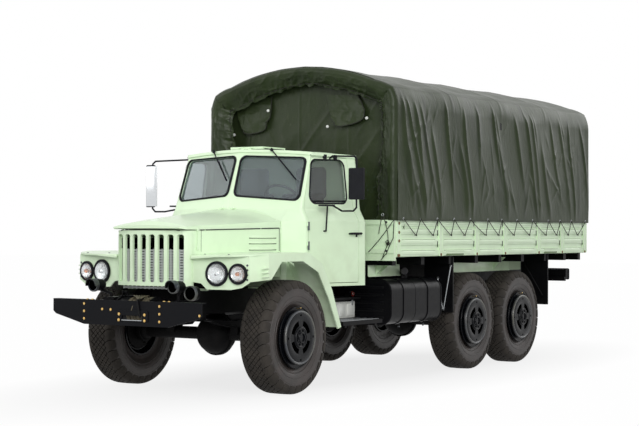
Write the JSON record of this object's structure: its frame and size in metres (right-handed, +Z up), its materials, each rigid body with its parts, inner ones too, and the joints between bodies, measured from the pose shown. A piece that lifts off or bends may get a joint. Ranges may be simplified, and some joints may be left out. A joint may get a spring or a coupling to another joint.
{
  "type": "military cargo truck",
  "caption": "Long-nosed six-by-six military cargo truck with a winch bumper, steel cab, dropside cargo body and tarpaulin on bows.",
  "frame": {"origin": "on the ground under the middle of the whole truck's length and width", "axes": "+Z up, +Y towards the tail, +X towards the truck's left side; the front faces -Y"},
  "size_m": [2.756, 7.8222, 3.347],
  "materials": {
    "body_paint": "satin",
    "black_paint": "satin",
    "cast": "matte",
    "tyre": "matte",
    "canvas": "matte",
    "glass": "gloss",
    "lens": "gloss",
    "trim": "matte",
    "bare_aluminium": "satin"
  },
  "bodies": {
    "chassis": {"frame": "black_paint", "tow_hook": "cast", "front_axle": "cast", "rear_axles": "cast", "leaf_springs": "black_paint", "driveline": "black_paint", "engine_block": "cast", "bumper": "black_paint", "winch": "black_paint", "radiator": "bare_aluminium", "grille": "body_paint", "wings": "body_paint", "lamp_housings": "black_paint", "lamp_lenses": "lens", "cab_shell": "body_paint", "cab_glass": "glass", "cab_interior": "trim", "steps_and_guards": "black_paint", "fuel_tanks": "black_paint", "bed_floor": "body_paint", "bed_bearers": "black_paint", "bed_sides": "body_paint", "canvas": "canvas", "bows": "black_paint"},
    "steering_left": {"knuckle_left": "cast"},
    "steering_right": {"knuckle_right": "cast"},
    "bonnet": {"bonnet": "body_paint"},
    "cab_door_left": {"door_left": "body_paint", "door_glass_left": "glass", "mirror_left": "black_paint"},
    "cab_door_right": {"door_right": "body_paint", "door_glass_right": "glass", "mirror_right": "black_paint"},
    "hatch": {"roof_hatch": "body_paint"},
    "tailgate": {"tailgate": "body_paint"},
    "running_wheel_front_left": {"tyre_front_left": "tyre", "wheel_front_left": "black_paint"},
    "running_wheel_front_right": {"tyre_front_right": "tyre", "wheel_front_right": "black_paint"},
    "running_wheel_middle_left": {"tyre_middle_left": "tyre", "wheel_middle_left": "black_paint"},
    "running_wheel_middle_right": {"tyre_middle_right": "tyre", "wheel_middle_right": "black_paint"},
    "running_wheel_rear_left": {"tyre_rear_left": "tyre", "wheel_rear_left": "black_paint"},
    "running_wheel_rear_right": {"tyre_rear_right": "tyre", "wheel_rear_right": "black_paint"}
  },
  "joints": [
    {"name": "steer_left", "type": "hinge", "parent": "chassis", "child": "steering_left", "pos_m": [0.78, -2.64285, 0.55], "axis": [0, 0, 1], "range_deg": [-27, 27]},
    {"name": "steer_right", "type": "hinge", "parent": "chassis", "child": "steering_right", "pos_m": [-0.78, -2.64285, 0.55], "axis": [0, 0, 1], "range_deg": [-27, 27]},
    {"name": "spin_front_left", "type": "hinge", "parent": "steering_left", "child": "running_wheel_front_left", "pos_m": [0.94, -2.64285, 0.55], "axis": [1, 0, 0], "continuous": true},
    {"name": "spin_front_right", "type": "hinge", "parent": "steering_right", "child": "running_wheel_front_right", "pos_m": [-0.94, -2.64285, 0.55], "axis": [1, 0, 0], "continuous": true},
    {"name": "spin_middle_left", "type": "hinge", "parent": "chassis", "child": "running_wheel_middle_left", "pos_m": [0.94, 0.96715, 0.55], "axis": [1, 0, 0], "continuous": true},
    {"name": "spin_middle_right", "type": "hinge", "parent": "chassis", "child": "running_wheel_middle_right", "pos_m": [-0.94, 0.96715, 0.55], "axis": [1, 0, 0], "continuous": true},
    {"name": "spin_rear_left", "type": "hinge", "parent": "chassis", "child": "running_wheel_rear_left", "pos_m": [0.94, 2.15715, 0.55], "axis": [1, 0, 0], "continuous": true},
    {"name": "spin_rear_right", "type": "hinge", "parent": "chassis", "child": "running_wheel_rear_right", "pos_m": [-0.94, 2.15715, 0.55], "axis": [1, 0, 0], "continuous": true},
    {"name": "bonnet_hinge", "type": "hinge", "parent": "chassis", "child": "bonnet", "pos_m": [0, -2.30485, 1.799], "axis": [-1, 0, 0], "range_deg": [0, 45]},
    {"name": "door_left_hinge", "type": "hinge", "parent": "chassis", "child": "cab_door_left", "pos_m": [0.8825, -2.13085, 1.5], "axis": [0, 0, -1], "range_deg": [0, 60]},
    {"name": "door_right_hinge", "type": "hinge", "parent": "chassis", "child": "cab_door_right", "pos_m": [-0.8825, -2.13085, 1.5], "axis": [0, 0, 1], "range_deg": [0, 60]},
    {"name": "roof_hatch_hinge", "type": "hinge", "parent": "chassis", "child": "hatch", "pos_m": [0, -1.97685, 2.424], "axis": [1, 0, 0], "range_deg": [0, 35]},
    {"name": "tailgate_hinge", "type": "hinge", "parent": "chassis", "child": "tailgate", "pos_m": [0, 3.90315, 1.298], "axis": [-1, 0, 0], "range_deg": [0, 90]}
  ],
  "couplings": [
    {"joint": "steer_right", "follows": "steer_left", "ratio": 1}
  ]
}
